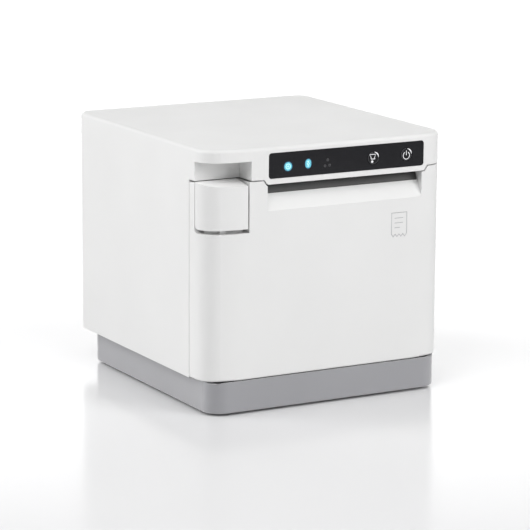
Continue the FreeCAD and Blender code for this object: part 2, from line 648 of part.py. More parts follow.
def lever_window():
    """The opening round the left front corner that the lever fills, with its skirt's slot."""
    floor_z = LEVER_BOTTOM - LEVER_GAP_BOTTOM
    window = box(-HALF_W - 1, LEVER_WINDOW_RIGHT, FRONT_Y - 1, LEVER_WINDOW_REAR, floor_z, 130)
    corner = [e for e in window.Edges if abs(e.tangentAt(e.FirstParameter).x) > 0.9
              and e.CenterOfMass.z < floor_z + 0.01 and e.CenterOfMass.y > LEVER_WINDOW_REAR - 0.01]
    window = window.makeFillet(2.4, corner)
    slot = box(TAIL_X[0] - SKIRT_GAP, TAIL_X[1] + SKIRT_GAP, TAIL_Y[0] - SKIRT_GAP, TAIL_Y[1] + SKIRT_GAP,
               floor_z - 3, floor_z + 3)
    return window.fuse([slot, skirt(SKIRT_GAP, floor_z - 3, floor_z + 3)])


def add_barrels(skin, side):
    """The two hinge barrels inside the door's foot, and the pocket for the bracket's ear."""
    x = side * HINGE_X
    half = HINGE_EAR_W / 2 + 0.25
    for x0, x1 in ((x - half - HINGE_BARREL_W, x - half), (x + half, x + half + HINGE_BARREL_W)):
        barrel = rod_x(x0, x1, HINGE_Y, HINGE_Z, HINGE_BARREL_R)
        web = box(x0, x1, FRONT_Y + 1.0, HINGE_Y, HINGE_Z - 1.5, HINGE_Z + HINGE_BARREL_R)
        skin = skin.fuse([barrel, web])
    pocket = rod_x(x - half, x + half, HINGE_Y, HINGE_Z, HINGE_EAR_R + 0.2)
    hole = rod_x(x - half - HINGE_BARREL_W - 0.5, x + half + HINGE_BARREL_W + 0.5,
                 HINGE_Y, HINGE_Z, HINGE_PIN_R + 0.04)
    return skin.cut(pocket).cut(hole)


def make_door_frame():
    """The dark inner frame of the door: it holds the platen's cheeks and the latch shaft's lugs."""
    wall_y = FRONT_Y + DOOR_WALL + 0.1
    frame = box(-41.0, 56.0, wall_y, wall_y + 1.5, 27.0, 90.0)
    frame = frame.fuse(box(-52.5, -41.0, wall_y, wall_y + 1.5, 27.0, 80.0))
    for x0, x1 in CHEEKS:
        cheek = [(wall_y, 70.0), (wall_y, 89.5), (-64.3, 90.9), (-62.8, 101.0), (-60.5, 103.6),
                 (-51.6, 103.6), (-50.6, 98.0), (-54.0, 90.0), (-55.0, 80.0)]
        frame = frame.fuse(prism_x(cheek, x0, x1))
    for x0, x1 in LUGS:
        lug = [(wall_y, LATCH_Z - 12.0), (wall_y, LATCH_Z - 2.0), (LATCH_Y - 3.8, LATCH_Z + 3.5),
               (LATCH_Y + 3.8, LATCH_Z + 3.5), (LATCH_Y + 3.8, LATCH_Z - 3.8)]
        frame = frame.fuse(prism_x(lug, x0, x1))
    for x0, x1 in CHEEKS:
        frame = frame.cut(rod_x(x0 - 1, x1 + 1, PLATEN_Y, PLATEN_Z, BEARING_R + 0.02))
    frame = frame.cut(rod_x(-62, 62, LATCH_Y, LATCH_Z, LATCH_SHAFT_R + 0.05))
    for k in range(6):
        z = 33.0 + 7.0 * k
        frame = frame.fuse(box(-36.0, 41.0, wall_y + 1.5, wall_y + 2.7, z, z + 1.4))
    for x, z in DOOR_SCREWS:
        frame = frame.cut(rod_y(x, wall_y - 1, wall_y + 4, z, 1.3))
    return frame.common(casing_prism(DOOR_WALL + 0.1, 20.0, SEAM_Z)).removeSplitter()


def make_door_screws():
    """Pan head screws that fix the inner frame into the door's front wall."""
    wall_y = FRONT_Y + DOOR_WALL + 0.1
    screws = []
    for x, z in DOOR_SCREWS:
        head = rod_y(x, wall_y + 1.5, wall_y + 2.6, z, 2.3)
        slot = box(x - 1.5, x + 1.5, wall_y + 2.1, wall_y + 3, z - 0.25, z + 0.25)
        screws.append(head.cut(slot).fuse(rod_y(x, wall_y, wall_y + 1.5, z, 1.25)).removeSplitter())
    return Part.makeCompound(screws)


def make_fixed_blade():
    """The fixed cutter blade, held behind the slot on the door."""
    return box(BLADE_X0 + 1.2, BLADE_X1 - 1.2, -63.15, BLADE_Y - 0.05, 99.6, FIXED_EDGE_Z)


def make_exit_guide():
    """The dark guide behind the slot that covers the fixed blade and carries the paper out."""
    top = FIXED_EDGE_Z + 0.1
    profile = [(-63.7, 100.0), (-63.2, 100.0), (-63.2, top), (-63.5, top), (-64.9, 103.4), (-64.9, 103.0),
               (-63.7, 102.2)]
    return prism_x(profile, SLOT_X0 + 0.2, SLOT_X1 - 0.2)


def make_platen_bearings():
    """The two bushes that carry the platen shaft in the door frame's cheeks."""
    return Part.makeCompound([ring_x(x0 - 0.1, x1 + 0.1, PLATEN_Y, PLATEN_Z, BEARING_R, PLATEN_SHAFT_R + 0.03)
                              for x0, x1 in CHEEKS])


# ---- platen and feed drive -------------------------------------------------

def make_platen_roller():
    """The rubber sleeve that presses the paper against the head."""
    x0 = PAPER_X - PAPER_W / 2 - 0.6
    x1 = PAPER_X + PAPER_W / 2 + 0.6
    sleeve = ring_x(x0, x1, PLATEN_Y, PLATEN_Z, PLATEN_R, PLATEN_SHAFT_R)
    edges = [e for e in sleeve.Edges if e.Length > 30 and (abs(e.CenterOfMass.x - x0) < 0.01
             or abs(e.CenterOfMass.x - x1) < 0.01)]
    return sleeve.makeChamfer(0.4, edges)


def make_platen_shaft():
    """The platen's steel shaft, with a flat for the gear."""
    shaft = rod_x(GEAR_X0 - 0.5, 54.0, PLATEN_Y, PLATEN_Z, PLATEN_SHAFT_R)
    flat = box(GEAR_X0 - 1, GEAR_X0 + GEAR_W, PLATEN_Y - 4, PLATEN_Y + 4,
               PLATEN_Z + PLATEN_SHAFT_R - 0.5, PLATEN_Z + 4)
    return shaft.cut(flat)


def make_feed_gears():
    """The platen, idler and motor gears in mesh, in that order."""
    idler_y, idler_z = idler_centre()
    motor_y, motor_z = motor_centre()
    toward_idler = math.degrees(math.atan2(idler_z - PLATEN_Z, idler_y - PLATEN_Y))
    platen = gear(PLATEN_TEETH, GEAR_X0, GEAR_W, PLATEN_Y, PLATEN_Z, PLATEN_SHAFT_R, 0.0)
    flat = box(GEAR_X0, GEAR_X0 + GEAR_W, PLATEN_Y - 1.5, PLATEN_Y + 1.5,
               PLATEN_Z + PLATEN_SHAFT_R - 0.5, PLATEN_Z + PLATEN_SHAFT_R + 0.4)
    platen = platen.fuse(flat).removeSplitter()
    idler_phase = mesh_phase(IDLER_TEETH, PLATEN_TEETH, 0.0, toward_idler)
    idler = gear(IDLER_TEETH, GEAR_X0, GEAR_W, idler_y, idler_z, 1.55, idler_phase)
    motor_phase = mesh_phase(MOTOR_TEETH, IDLER_TEETH, idler_phase, MOTOR_DIRECTION)
    motor = gear(MOTOR_TEETH, GEAR_X0, GEAR_W, motor_y, motor_z, 1.0, motor_phase)
    return platen, idler, motor


def make_idler_axle():
    """The fixed axle between the frame and the bracket that the idler turns on."""
    y, z = idler_centre()
    axle = rod_x(-43.2, MECH_X0, y, z, 1.5)
    return axle.fuse(rod_x(-44.4, MECH_X0 + SHEET_T, y, z, 1.18)).removeSplitter()


def make_feed_motor():
    """The flat stepper motor that turns the paper feed."""
    y, z = motor_centre()
    can = rod_x(-55.4, -45.4, y, z, 13.0)
    edges = [e for e in can.Edges if e.Length > 70]
    can = can.makeFillet(0.8, edges)
    flange = box(-45.4, -44.4, y - 9.0, y + 9.0, z - 12.0, z + 12.0)
    boss = rod_x(-44.4, -43.0, y, z, 5.0)
    body = can.fuse([flange, boss])
    return body.cut(rod_x(-56.5, -42.0, y, z, 1.03)).removeSplitter()


def make_motor_shaft():
    """The feed motor's shaft."""
    y, z = motor_centre()
    return rod_x(-54.0, GEAR_X0 + GEAR_W, y, z, 1.0)


# ---- head and cutter -------------------------------------------------------

def head_frame(solid):
    """Move a solid drawn against a level platen top to the head's tilt."""
    tilt = math.radians(HEAD_TILT)
    reach = PLATEN_R + PAPER_GAP
    solid = solid.copy()
    solid.rotate(V(0, 0, 0), V(1, 0, 0), -HEAD_TILT)
    solid.translate(V(0, PLATEN_Y + reach * math.sin(tilt), PLATEN_Z + reach * math.cos(tilt)))
    return solid


def make_print_head():
    """The thermal head: a ceramic strip with its heater line over the platen."""
    x0 = PAPER_X - 40.5
    x1 = PAPER_X + 40.5
    strip = box(x0, x1, -2.2, 12.0, 0.3, 1.3)
    line = rod_x(x0 + 0.5, x1 - 0.5, 0.0, 1.0, 1.0).common(box(x0, x1, -2, 2, 0.0, 0.5))
    return head_frame(strip.fuse(line).removeSplitter())


def make_head_sink():
    """The aluminium heat sink that the head is glued to, with its fins."""
    x0 = PAPER_X - 40.5
    x1 = PAPER_X + 40.5
    sink = box(x0, x1, -2.2, 13.0, 1.3, 4.3)
    for k in range(5):
        y = -1.0 + 2.8 * k
        sink = sink.fuse(box(x0, x1, y, y + 1.0, 4.3, 6.6))
    return head_frame(sink.removeSplitter())


def make_head_springs():
    """The coil springs between the frame's roof and the head, as two plain coil envelopes."""
    springs = []
    for x in HEAD_SPRING_X:
        springs.append(coil_spring(x, HEAD_SPRING_Y, 110.8, 118.3, 2.6, 0.35, 5))
    return Part.makeCompound(springs)


def coil_spring(x, y, z0, z1, r, wire_r, turns):
    """A helical spring along Z."""
    path = Part.makeHelix((z1 - z0 - 2 * wire_r) / turns, z1 - z0 - 2 * wire_r, r)
    profile = Part.Wire(Part.makeCircle(wire_r, V(r, 0, 0), V(0, 1, 0)))
    coil = Part.Wire(path).makePipeShell([profile], True, True)
    return coil.translate(V(x, y, z0 + wire_r))


def make_moving_blade():
    """The cutter's moving blade with a shallow V edge and the rack that drives it."""
    middle = (BLADE_X0 + BLADE_X1) / 2
    outline = [(BLADE_X0, BLADE_EDGE_Z), (middle, BLADE_EDGE_Z + 0.5), (BLADE_X1, BLADE_EDGE_Z),
               (BLADE_X1, BLADE_TOP), (RACK_X, BLADE_TOP)]
    y0 = BLADE_Y + 0.05
    outline += [(x, z) for x, z in rack_teeth()]
    outline += [(RACK_X - 6.0, RACK_TOP), (RACK_X - 6.0, BLADE_TOP), (BLADE_X0, BLADE_TOP)]
    blade = prism_y(outline, y0, y0 + BLADE_T)
    bevel = prism_x([(y0 + BLADE_T + 0.01, BLADE_EDGE_Z + 1.6), (y0 + BLADE_T + 0.01, BLADE_EDGE_Z - 1),
                     (y0 + 0.3, BLADE_EDGE_Z - 1)], BLADE_X0 - 1, BLADE_X1 + 1)
    return blade.cut(bevel).removeSplitter()


def rack_teeth():
    """The rack's teeth on the tongue's right side, from the bottom up."""
    pitch = math.pi * MODULE
    lean = math.tan(math.radians(PRESSURE_ANGLE))
    points = []
    for k in RACK_STEPS:
        middle = CUTTER_PINION_Z + k * pitch
        half = pitch / 4 - 0.04
        foot = half + 1.25 * MODULE * lean
        tip = half - MODULE * lean
        points += [(RACK_X, middle - foot), (RACK_X + 2.25 * MODULE, middle - tip),
                   (RACK_X + 2.25 * MODULE, middle + tip), (RACK_X, middle + foot)]
    points.append((RACK_X, RACK_TOP))
    return points


def cutter_pinion_x():
    """Where the cutter pinion's axis stands, clear of the rack by the mesh slack."""
    return RACK_X + 1.25 * MODULE + MODULE * CUTTER_TEETH / 2 + MESH_SLACK


def make_cutter_pinion():
    """The pinion on the cutter motor, in mesh with the rack."""
    drawn = gear(CUTTER_TEETH, 0.0, 1.6, 0.0, 0.0, 0.75, 360.0 / CUTTER_TEETH / 2)
    drawn.rotate(V(0, 0, 0), V(0, 0, 1), 90)
    drawn.translate(V(cutter_pinion_x(), BLADE_Y - 0.3, CUTTER_PINION_Z))
    return drawn


def make_cutter_motor():
    """The small motor that works the cutter."""
    x = cutter_pinion_x()
    can = rod_y(x, -60.3, -44.5, CUTTER_PINION_Z, 5.6)
    flats = box(x - 7, x + 7, -61, -44, CUTTER_PINION_Z - 3.9, CUTTER_PINION_Z + 2.2)
    return can.common(flats).cut(rod_y(x, -62, -43, CUTTER_PINION_Z, 0.78)).removeSplitter()


def make_cutter_shaft():
    """The cutter motor's shaft, which the pinion is pressed on."""
    return rod_y(cutter_pinion_x(), BLADE_Y - 0.3, -46.0, CUTTER_PINION_Z, 0.75)


def make_cutter_guides():
    """The two plastic rails at the frame's sides that the moving blade runs between."""
    rails = []
    for x0, x1, slot0, slot1 in ((MECH_X0, BLADE_X0 + 1.5, BLADE_X0 - 0.1, 0),
                                 (BLADE_X1 - 1.5, MECH_X1 + SHEET_T, 0, BLADE_X1 + 0.1)):
        rail = box(x0, x1, BLADE_Y - 0.45, -60.55, 110.9, 119.6)
        blade = box(slot0 if slot0 else x0 - 1, slot1 if slot1 else x1 + 1,
                    BLADE_Y, BLADE_Y + BLADE_T + 0.1, 100, 121)
        rails.append(rail.cut(blade).removeSplitter())
    return Part.makeCompound(rails)


def make_head_pivot():
    """The pin across the frame that the head tips on."""
    return rod_x(MECH_X0 - 0.8, MECH_X1 + SHEET_T + 0.6, *head_pivot_centre(), 1.0)


def head_pivot_centre():
    """The head pivot's centre, in the heat sink's rear."""
    spot = head_frame(Part.Vertex(V(0, 11.2, 2.8)))
    return spot.Point.y, spot.Point.z


# ---- lever and latch -------------------------------------------------------

def skirt(grow, z0, z1):
    """The wall behind the lever's face that keeps the gap under it closed, grown all round."""
    inset = TAIL_Y[0] - FRONT_Y
    ring = casing_prism(inset - grow, z0, z1)
    ring = ring.cut(casing_prism(inset + TAIL_Y[1] - TAIL_Y[0] + grow, z0 - 1, z1 + 1))
    return ring.common(box(-HALF_W, LEVER_RIGHT - 0.8 + grow, FRONT_Y, LEVER_REAR - 0.8 + grow, z0, z1))


def make_lever():
    """The release lever: a hollow corner piece with a sloping top, a skirt, and a tail for the latch."""
    limits = box(-HALF_W - 1, LEVER_RIGHT, FRONT_Y - 1, LEVER_REAR, LEVER_BOTTOM, 130)
    edge = [e for e in limits.Edges if abs(e.tangentAt(e.FirstParameter).x) > 0.9
            and e.CenterOfMass.z < LEVER_BOTTOM + 0.01 and e.CenterOfMass.y > LEVER_REAR - 0.01]
    limits = limits.makeFillet(2.4, edge)
    side = [(FRONT_Y - 0.5, LEVER_BOTTOM), (FRONT_Y - 0.5, LEVER_EDGE_Z), (LEVER_REAR, LEVER_PEAK_Z),
            (LEVER_REAR, LEVER_BOTTOM)]
    block = prism_x(side, -HALF_W - 1, LEVER_RIGHT)
    body = block.common(casing_prism(0, LEVER_BOTTOM, LEVER_PEAK_Z)).common(limits)
    hollow = casing_prism(2.0, LEVER_BOTTOM - 1, LEVER_EDGE_Z - 2.0)
    hollow = hollow.common(box(-HALF_W, LEVER_RIGHT - 2.0, FRONT_Y, LEVER_REAR - 1.6, 80, 120))
    body = body.cut(hollow)
    tail = box(TAIL_X[0], TAIL_X[1], TAIL_Y[0], TAIL_Y[1], LATCH_Z + 1.15, LEVER_EDGE_Z - 1.0)
    floor_z = LEVER_BOTTOM - LEVER_GAP_BOTTOM
    return body.fuse([tail, skirt(0, floor_z - 0.5, LEVER_EDGE_Z - 1.0)]).removeSplitter()


def make_latch_shaft():
    """The steel shaft across the door that turns both hooks, flattened under the hooks and crank."""
    return rod_x(-60.6, 60.6, LATCH_Y, LATCH_Z, LATCH_SHAFT_R)


def make_latch_hooks():
    """The two hooks that reach back over the posts on the side plates."""
    arm_top = POST_Z + 4.6
    arm_low = POST_Z + POST_R + 0.2
    arm = [(LATCH_Y, LATCH_Z + 3.2), (LATCH_Y + 3.9, LATCH_Z + 2.9), (LATCH_Y + 4.9, LATCH_Z + 6.0),
           (LATCH_Y + 7.6, arm_top),
           (POST_Y + 3.0, arm_top), (POST_Y + 3.0, arm_low), (POST_Y - 3.4, arm_low),
           (LATCH_Y + 7.3, LATCH_Z + 3.5), (LATCH_Y + 2.0, LATCH_Z - 2.5)]
    hooks = []
    for x0, x1 in ((-60.4, -58.2), (58.2, 60.4)):
        hook = prism_x(arm, x0, x1).fuse(rod_x(x0, x1, LATCH_Y, LATCH_Z, 3.4))
        hooks.append(hook.cut(rod_x(x0 - 1, x1 + 1, LATCH_Y, LATCH_Z, LATCH_SHAFT_R)).removeSplitter())
    return Part.makeCompound(hooks)


def make_latch_crank():
    """The crank on the latch shaft that the lever's tail presses down."""
    x0, x1 = TAIL_X
    tip = LATCH_Y - LATCH_CRANK
    arm = box(x0, x1, tip - 0.9, LATCH_Y, LATCH_Z - 1.0, LATCH_Z + 1.0)
    hub = rod_x(x0, x1, LATCH_Y, LATCH_Z, 3.2)
    return arm.fuse(hub).cut(rod_x(x0 - 1, x1 + 1, LATCH_Y, LATCH_Z, LATCH_SHAFT_R)).removeSplitter()


def make_lever_spring():
    """The coil spring that pushes the lever back up from the pocket's floor."""
    floor_z = LEVER_BOTTOM - LEVER_GAP_BOTTOM
    return coil_spring(-48.5, -62.0, floor_z + 0.05, LEVER_EDGE_Z - 2.05, 1.85, 0.3, 7)


# ---- control panel ---------------------------------------------------------

def make_panel():
    """The gloss black panel with holes for two buttons and two lamps."""
    gap = 0.1
    y0 = FRONT_Y + 0.15
    panel = rounded_panel(PANEL_X0 + gap, PANEL_X1 - gap, y0, y0 + PANEL_T,
                          PANEL_Z0 + gap, PANEL_Z1 - gap, 1.4)
    for x, z in (FEED_XZ, POWER_XZ):
        panel = panel.cut(rod_y(x, y0 - 1, y0 + 3, z, BUTTON_R + 0.12))
    for (x, z), (half_x, half_z) in zip(LED_XZ, LED_HALF):
        panel = panel.cut(lens_prism(x, z, half_x + 0.02, half_z + 0.02, y0 - 1, y0 + 3))
    return panel


def make_button(spot):
    """A round push button with a collar behind the panel and a plunger to its switch."""
    x, z = spot
    y0 = FRONT_Y + 0.05
    back = FRONT_Y + 0.15 + PANEL_T
    face = rod_y(x, y0, back + 0.1, z, BUTTON_R)
    rim = [e for e in face.Edges if abs(e.CenterOfMass.y - y0) < 0.01 and e.Length > 15]
    face = face.makeFillet(0.3, rim)
    collar = rod_y(x, back + 0.05, back + 0.75, z, BUTTON_R + 0.7)
    plunger = rod_y(x, back + 0.75, SWITCH_Y - BUTTON_TRAVEL - 0.03, z, 1.4)
    return face.fuse([collar, plunger]).removeSplitter()


def lens_prism(x, z, half_x, half_z, y0, y1):
    """A lamp lens along Y: round, or an upright slot where it is taller than wide."""
    rise = half_z - half_x
    lens = rod_y(x, y0, y1, z + rise, half_x)
    if rise > 0:
        lens = lens.fuse([rod_y(x, y0, y1, z - rise, half_x),
                          box(x - half_x, x + half_x, y0, y1, z - rise, z + rise)])
    return lens.removeSplitter()


def make_light_pipes():
    """The two clear lenses that show the lamps through the panel."""
    lenses = []
    for (x, z), (half_x, half_z) in zip(LED_XZ, LED_HALF):
        lens = lens_prism(x, z, half_x, half_z, FRONT_Y + 0.12, PANEL_BOARD_Y - 0.9)
        collar_y = FRONT_Y + 0.2 + PANEL_T
        collar = lens_prism(x, z, half_x + 0.8, half_z + 0.8, collar_y, collar_y + 0.8)
        lenses.append(lens.fuse(collar).removeSplitter())
    return Part.makeCompound(lenses)


def make_panel_board():
    """The panel's circuit board, with its two lamps."""
    board = box(PANEL_X0 - 0.5, PANEL_X1 - 2.0, PANEL_BOARD_Y, PANEL_BOARD_Y + 0.8, 110.9, 121.8)
    for x, z in LED_XZ:
        board = board.fuse(box(x - 1.0, x + 1.0, PANEL_BOARD_Y - 0.8, PANEL_BOARD_Y, z - 0.7, z + 0.7))
    return board.removeSplitter()


def make_switches():
    """The two tact switches behind the buttons."""
    switches = []
    for x, z in (FEED_XZ, POWER_XZ):
        body = box(x - 2.3, x + 2.3, SWITCH_Y + 0.6, PANEL_BOARD_Y, z - 2.3, z + 2.3)
        switches.append(body.fuse(rod_y(x, SWITCH_Y, SWITCH_Y + 0.6, z, 1.1)).removeSplitter())
    return Part.makeCompound(switches)


# ---- boards and sockets ----------------------------------------------------


def make_main_board():
    """The main circuit board, upright behind the paper well, with its larger parts."""
    board = box(-52.0, 52.0, MAIN_BOARD_Y, MAIN_BOARD_Y + BOARD_T, 18.0, 88.0)
    for x, z, half, t in ((-20.0, 66.0, 8.0, 1.4), (14.0, 70.0, 6.0, 1.2), (34.0, 64.0, 4.0, 1.6)):
        board = board.fuse(box(x - half, x + half, MAIN_BOARD_Y + BOARD_T, MAIN_BOARD_Y + BOARD_T + t,
                               z - half, z + half))
    for x in (-42.0, -35.0, 44.0):
        board = board.fuse(rod_y(x, MAIN_BOARD_Y + BOARD_T, MAIN_BOARD_Y + 10.0, 80.0, 3.0))
    return board.removeSplitter()


def make_rear_plate():
    """The recessed rear plate with its socket cut-outs."""
    plate = box(-RECESS_X - 1.6, RECESS_X + 1.6, REAR_PLATE_Y, REAR_PLATE_Y + 1.4, BASE_TOP + 0.6,
                RECESS_TOP + 1.6)
    for x, z, w, h in SOCKETS.values():
        plate = plate.cut(box(x - w / 2 - 0.3, x + w / 2 + 0.3, REAR_PLATE_Y - 1, REAR_PLATE_Y + 3,
                              z - h / 2 - 0.3, z + h / 2 + 0.3))
    for k in range(8):
        x = -46.0 + 4.0 * k
        plate = plate.cut(box(x, x + 1.6, REAR_PLATE_Y - 1, REAR_PLATE_Y + 3, 42.0, 49.0))
    return plate


def make_socket(name):
    """A rear socket body on the main board, open to the rear."""
    x, z, w, h = SOCKETS[name]
    body = box(x - w / 2, x + w / 2, MAIN_BOARD_Y + BOARD_T, SOCKET_FACE_Y, z - h / 2, z + h / 2)
    mouth = SOCKET_MOUTHS[name]
    if mouth is None:
        body = body.cut(rod_y(x, SOCKET_FACE_Y - 10.0, SOCKET_FACE_Y + 1, z, 4.6))
        body = body.fuse(rod_y(x, SOCKET_FACE_Y - 10.5, SOCKET_FACE_Y - 1.0, z, 1.0))
        return body.removeSplitter()
    mw, mh, depth = mouth
    body = body.cut(box(x - mw / 2, x + mw / 2, SOCKET_FACE_Y - depth, SOCKET_FACE_Y + 1,
                        z - mh / 2, z + mh / 2))
    if name == "usb_b_socket":
        body = body.fuse(box(x - 2.8, x + 2.8, SOCKET_FACE_Y - depth, SOCKET_FACE_Y - 1.2, z - 1.5, z + 1.5))
    if name == "usb_a_socket":
        body = body.fuse(box(x - 5.6, x + 5.6, SOCKET_FACE_Y - depth, SOCKET_FACE_Y - 0.8, z + 0.4, z + 2.2))
    if name in ("network_socket", "drawer_socket"):
        notch = box(x - 3.0, x + 3.0, SOCKET_FACE_Y - 7.0, SOCKET_FACE_Y + 1,
                    z - mh / 2 - 1.8, z - mh / 2 + 0.1)
        body = body.cut(notch)
    return body.removeSplitter()


def make_paper_sensor():
    """The paper end sensor on the well's left wall."""
    x0 = PAPER_X - 42.3
    return box(x0 - 2.2, x0 - 0.02, -22.0, -14.0, 30.0, 40.0)


def make_door_switch():
    """The switch that tells that the door is shut."""
    body = box(36.0, 42.0, -52.0, -44.0, TRAY_Z + TRAY_T, TRAY_Z + TRAY_T + 6.0)
    plunger = box(37.5, 40.5, -53.5, -52.0, TRAY_Z + TRAY_T + 3.0, TRAY_Z + TRAY_T + 4.2)
    return body.fuse(plunger).removeSplitter()


def make_head_cable():
    """The flat cable from the head back over the paper well to the main board."""
    profile = [(-40.2, 104.0), (-36.0, 106.2), (30.0, 106.2), (42.0, 100.0), (42.0, 86.0), (43.9, 86.0),
               (43.9, 86.4), (42.4, 86.4), (42.4, 100.3), (30.1, 106.6), (-36.1, 106.6), (-40.2, 104.4)]
    return prism_x(profile, PAPER_X - 22.0, PAPER_X + 22.0)


def make_cover_screws():
    """The two screws that pull the casing down onto the frame."""
    top = 119.6 - SHEET_T
    return Part.makeCompound([hex_screw(x, y, top - 1.2, 4.6, 2.6, 1.2) for x, y in COVER_SCREWS])


def main():
    """Build every node."""
    platen_gear, idler_gear, motor_gear = make_feed_gears()
    pivot = rod_x(-80, 80, *head_pivot_centre(), 1.03)
    nodes = {
        "casing": make_casing(),
        "base": make_base(),
        "rubber_feet": make_feet(),
        "base_screws": make_base_screws(),
        "cover_screws": make_cover_screws(),
        "inner_tray": make_tray(),
        "hinge_brackets": make_hinge_brackets(),
        "hinge_pins": make_hinge_pins(),
        "side_plate_left": make_side_plate(-1),
        "side_plate_right": make_side_plate(1),
        "latch_posts": make_latch_posts(),
        "paper_well": make_bucket(),
        "mech_frame": make_mech_frame().cut(pivot),
        "drive_bracket": make_drive_bracket(),
        "feed_motor": make_feed_motor(),
        "feed_motor_shaft": make_motor_shaft(),
        "motor_pinion": motor_gear,
        "idler_gear": idler_gear,
        "idler_axle": make_idler_axle(),
        "print_head": make_print_head(),
        "head_heat_sink": make_head_sink().cut(pivot),
        "head_pivot_pin": make_head_pivot(),
        "head_springs": make_head_springs(),
        "head_cable": make_head_cable(),
        "moving_blade": make_moving_blade(),
        "cutter_guides": make_cutter_guides(),
        "cutter_motor": make_cutter_motor(),
        "cutter_shaft": make_cutter_shaft(),
        "cutter_pinion": make_cutter_pinion(),
        "front_door": make_door(),
        "door_frame": make_door_frame(),
        "door_screws": make_door_screws(),
        "fixed_blade": make_fixed_blade(),
        "exit_guide": make_exit_guide(),
        "platen_bearings": make_platen_bearings(),
        "platen_roller": make_platen_roller(),
        "platen_shaft": make_platen_shaft(),
        "platen_gear": platen_gear,
        "release_lever": make_lever(),
        "lever_spring": make_lever_spring(),
        "latch_shaft": make_latch_shaft(),
        "latch_hooks": make_latch_hooks(),
        "latch_crank": make_latch_crank(),
        "control_panel": make_panel(),
        "feed_button": make_button(FEED_XZ),
        "power_button": make_button(POWER_XZ),
        "light_pipes": make_light_pipes(),
        "panel_board": make_panel_board(),
        "button_switches": make_switches(),
        "main_board": make_main_board(),
        "rear_plate": make_rear_plate(),
        "paper_sensor": make_paper_sensor(),
        "door_switch": make_door_switch(),
    }
    for name in SOCKETS:
        nodes[name] = make_socket(name)
    for name, shape in nodes.items():
        save(shape, name)


main()
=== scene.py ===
import json
import math

import bmesh
import bpy
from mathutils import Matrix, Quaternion, Vector


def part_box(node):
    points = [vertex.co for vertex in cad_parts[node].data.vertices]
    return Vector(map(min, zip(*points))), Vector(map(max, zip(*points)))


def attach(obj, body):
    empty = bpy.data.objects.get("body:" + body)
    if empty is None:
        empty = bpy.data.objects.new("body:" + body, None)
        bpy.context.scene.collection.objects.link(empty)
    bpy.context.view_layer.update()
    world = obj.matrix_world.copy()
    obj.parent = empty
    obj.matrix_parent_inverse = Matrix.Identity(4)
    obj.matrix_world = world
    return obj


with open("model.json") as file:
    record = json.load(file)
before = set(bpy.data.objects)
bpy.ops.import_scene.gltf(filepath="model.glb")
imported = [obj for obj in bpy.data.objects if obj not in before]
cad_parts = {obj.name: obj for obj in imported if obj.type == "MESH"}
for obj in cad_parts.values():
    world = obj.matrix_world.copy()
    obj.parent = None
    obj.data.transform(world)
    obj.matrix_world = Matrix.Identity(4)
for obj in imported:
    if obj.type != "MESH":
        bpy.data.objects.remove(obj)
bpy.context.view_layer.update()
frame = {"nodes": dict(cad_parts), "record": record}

MM = 0.001

# ---- ink, lamps, painted highlights and painted glow on the panel
INK = 0.04 * MM
SUNK = 0.01 * MM
KEY_RIM_R = 2.8 * MM
LENS_COLLAR = 0.8 * MM
ROUND_LENS = Vector((2.0, 2.0)) * MM
SLOT_LENS = Vector((1.5, 2.1)) * MM
UNLIT_OFFSET = 10.3 * MM

# ---- the receipt mark on the door
MARK_X = (34.2 * MM, 42.6 * MM)
MARK_Z = (77.0 * MM, 88.6 * MM)
MARK_TEETH = 4
MARK_LINE = 0.33 * MM

# ---- the upright seams beside the door
DOOR_SEAM_Y = -52.5 * MM
TONGUE_Z = (26.0 * MM, 109.0 * MM)

# ---- camera
CAMERA_AZIMUTH = math.radians(-29.07)
CAMERA_ELEVATION = math.radians(11.91)
CAMERA_ROLL = math.radians(0.37)
CAMERA_DISTANCE = 1.3175
CAMERA_LENS = 181.3
CAMERA_AIM = Vector((0.00426, 0.0, 0.0534))


# ---- node material helpers -------------------------------------------------

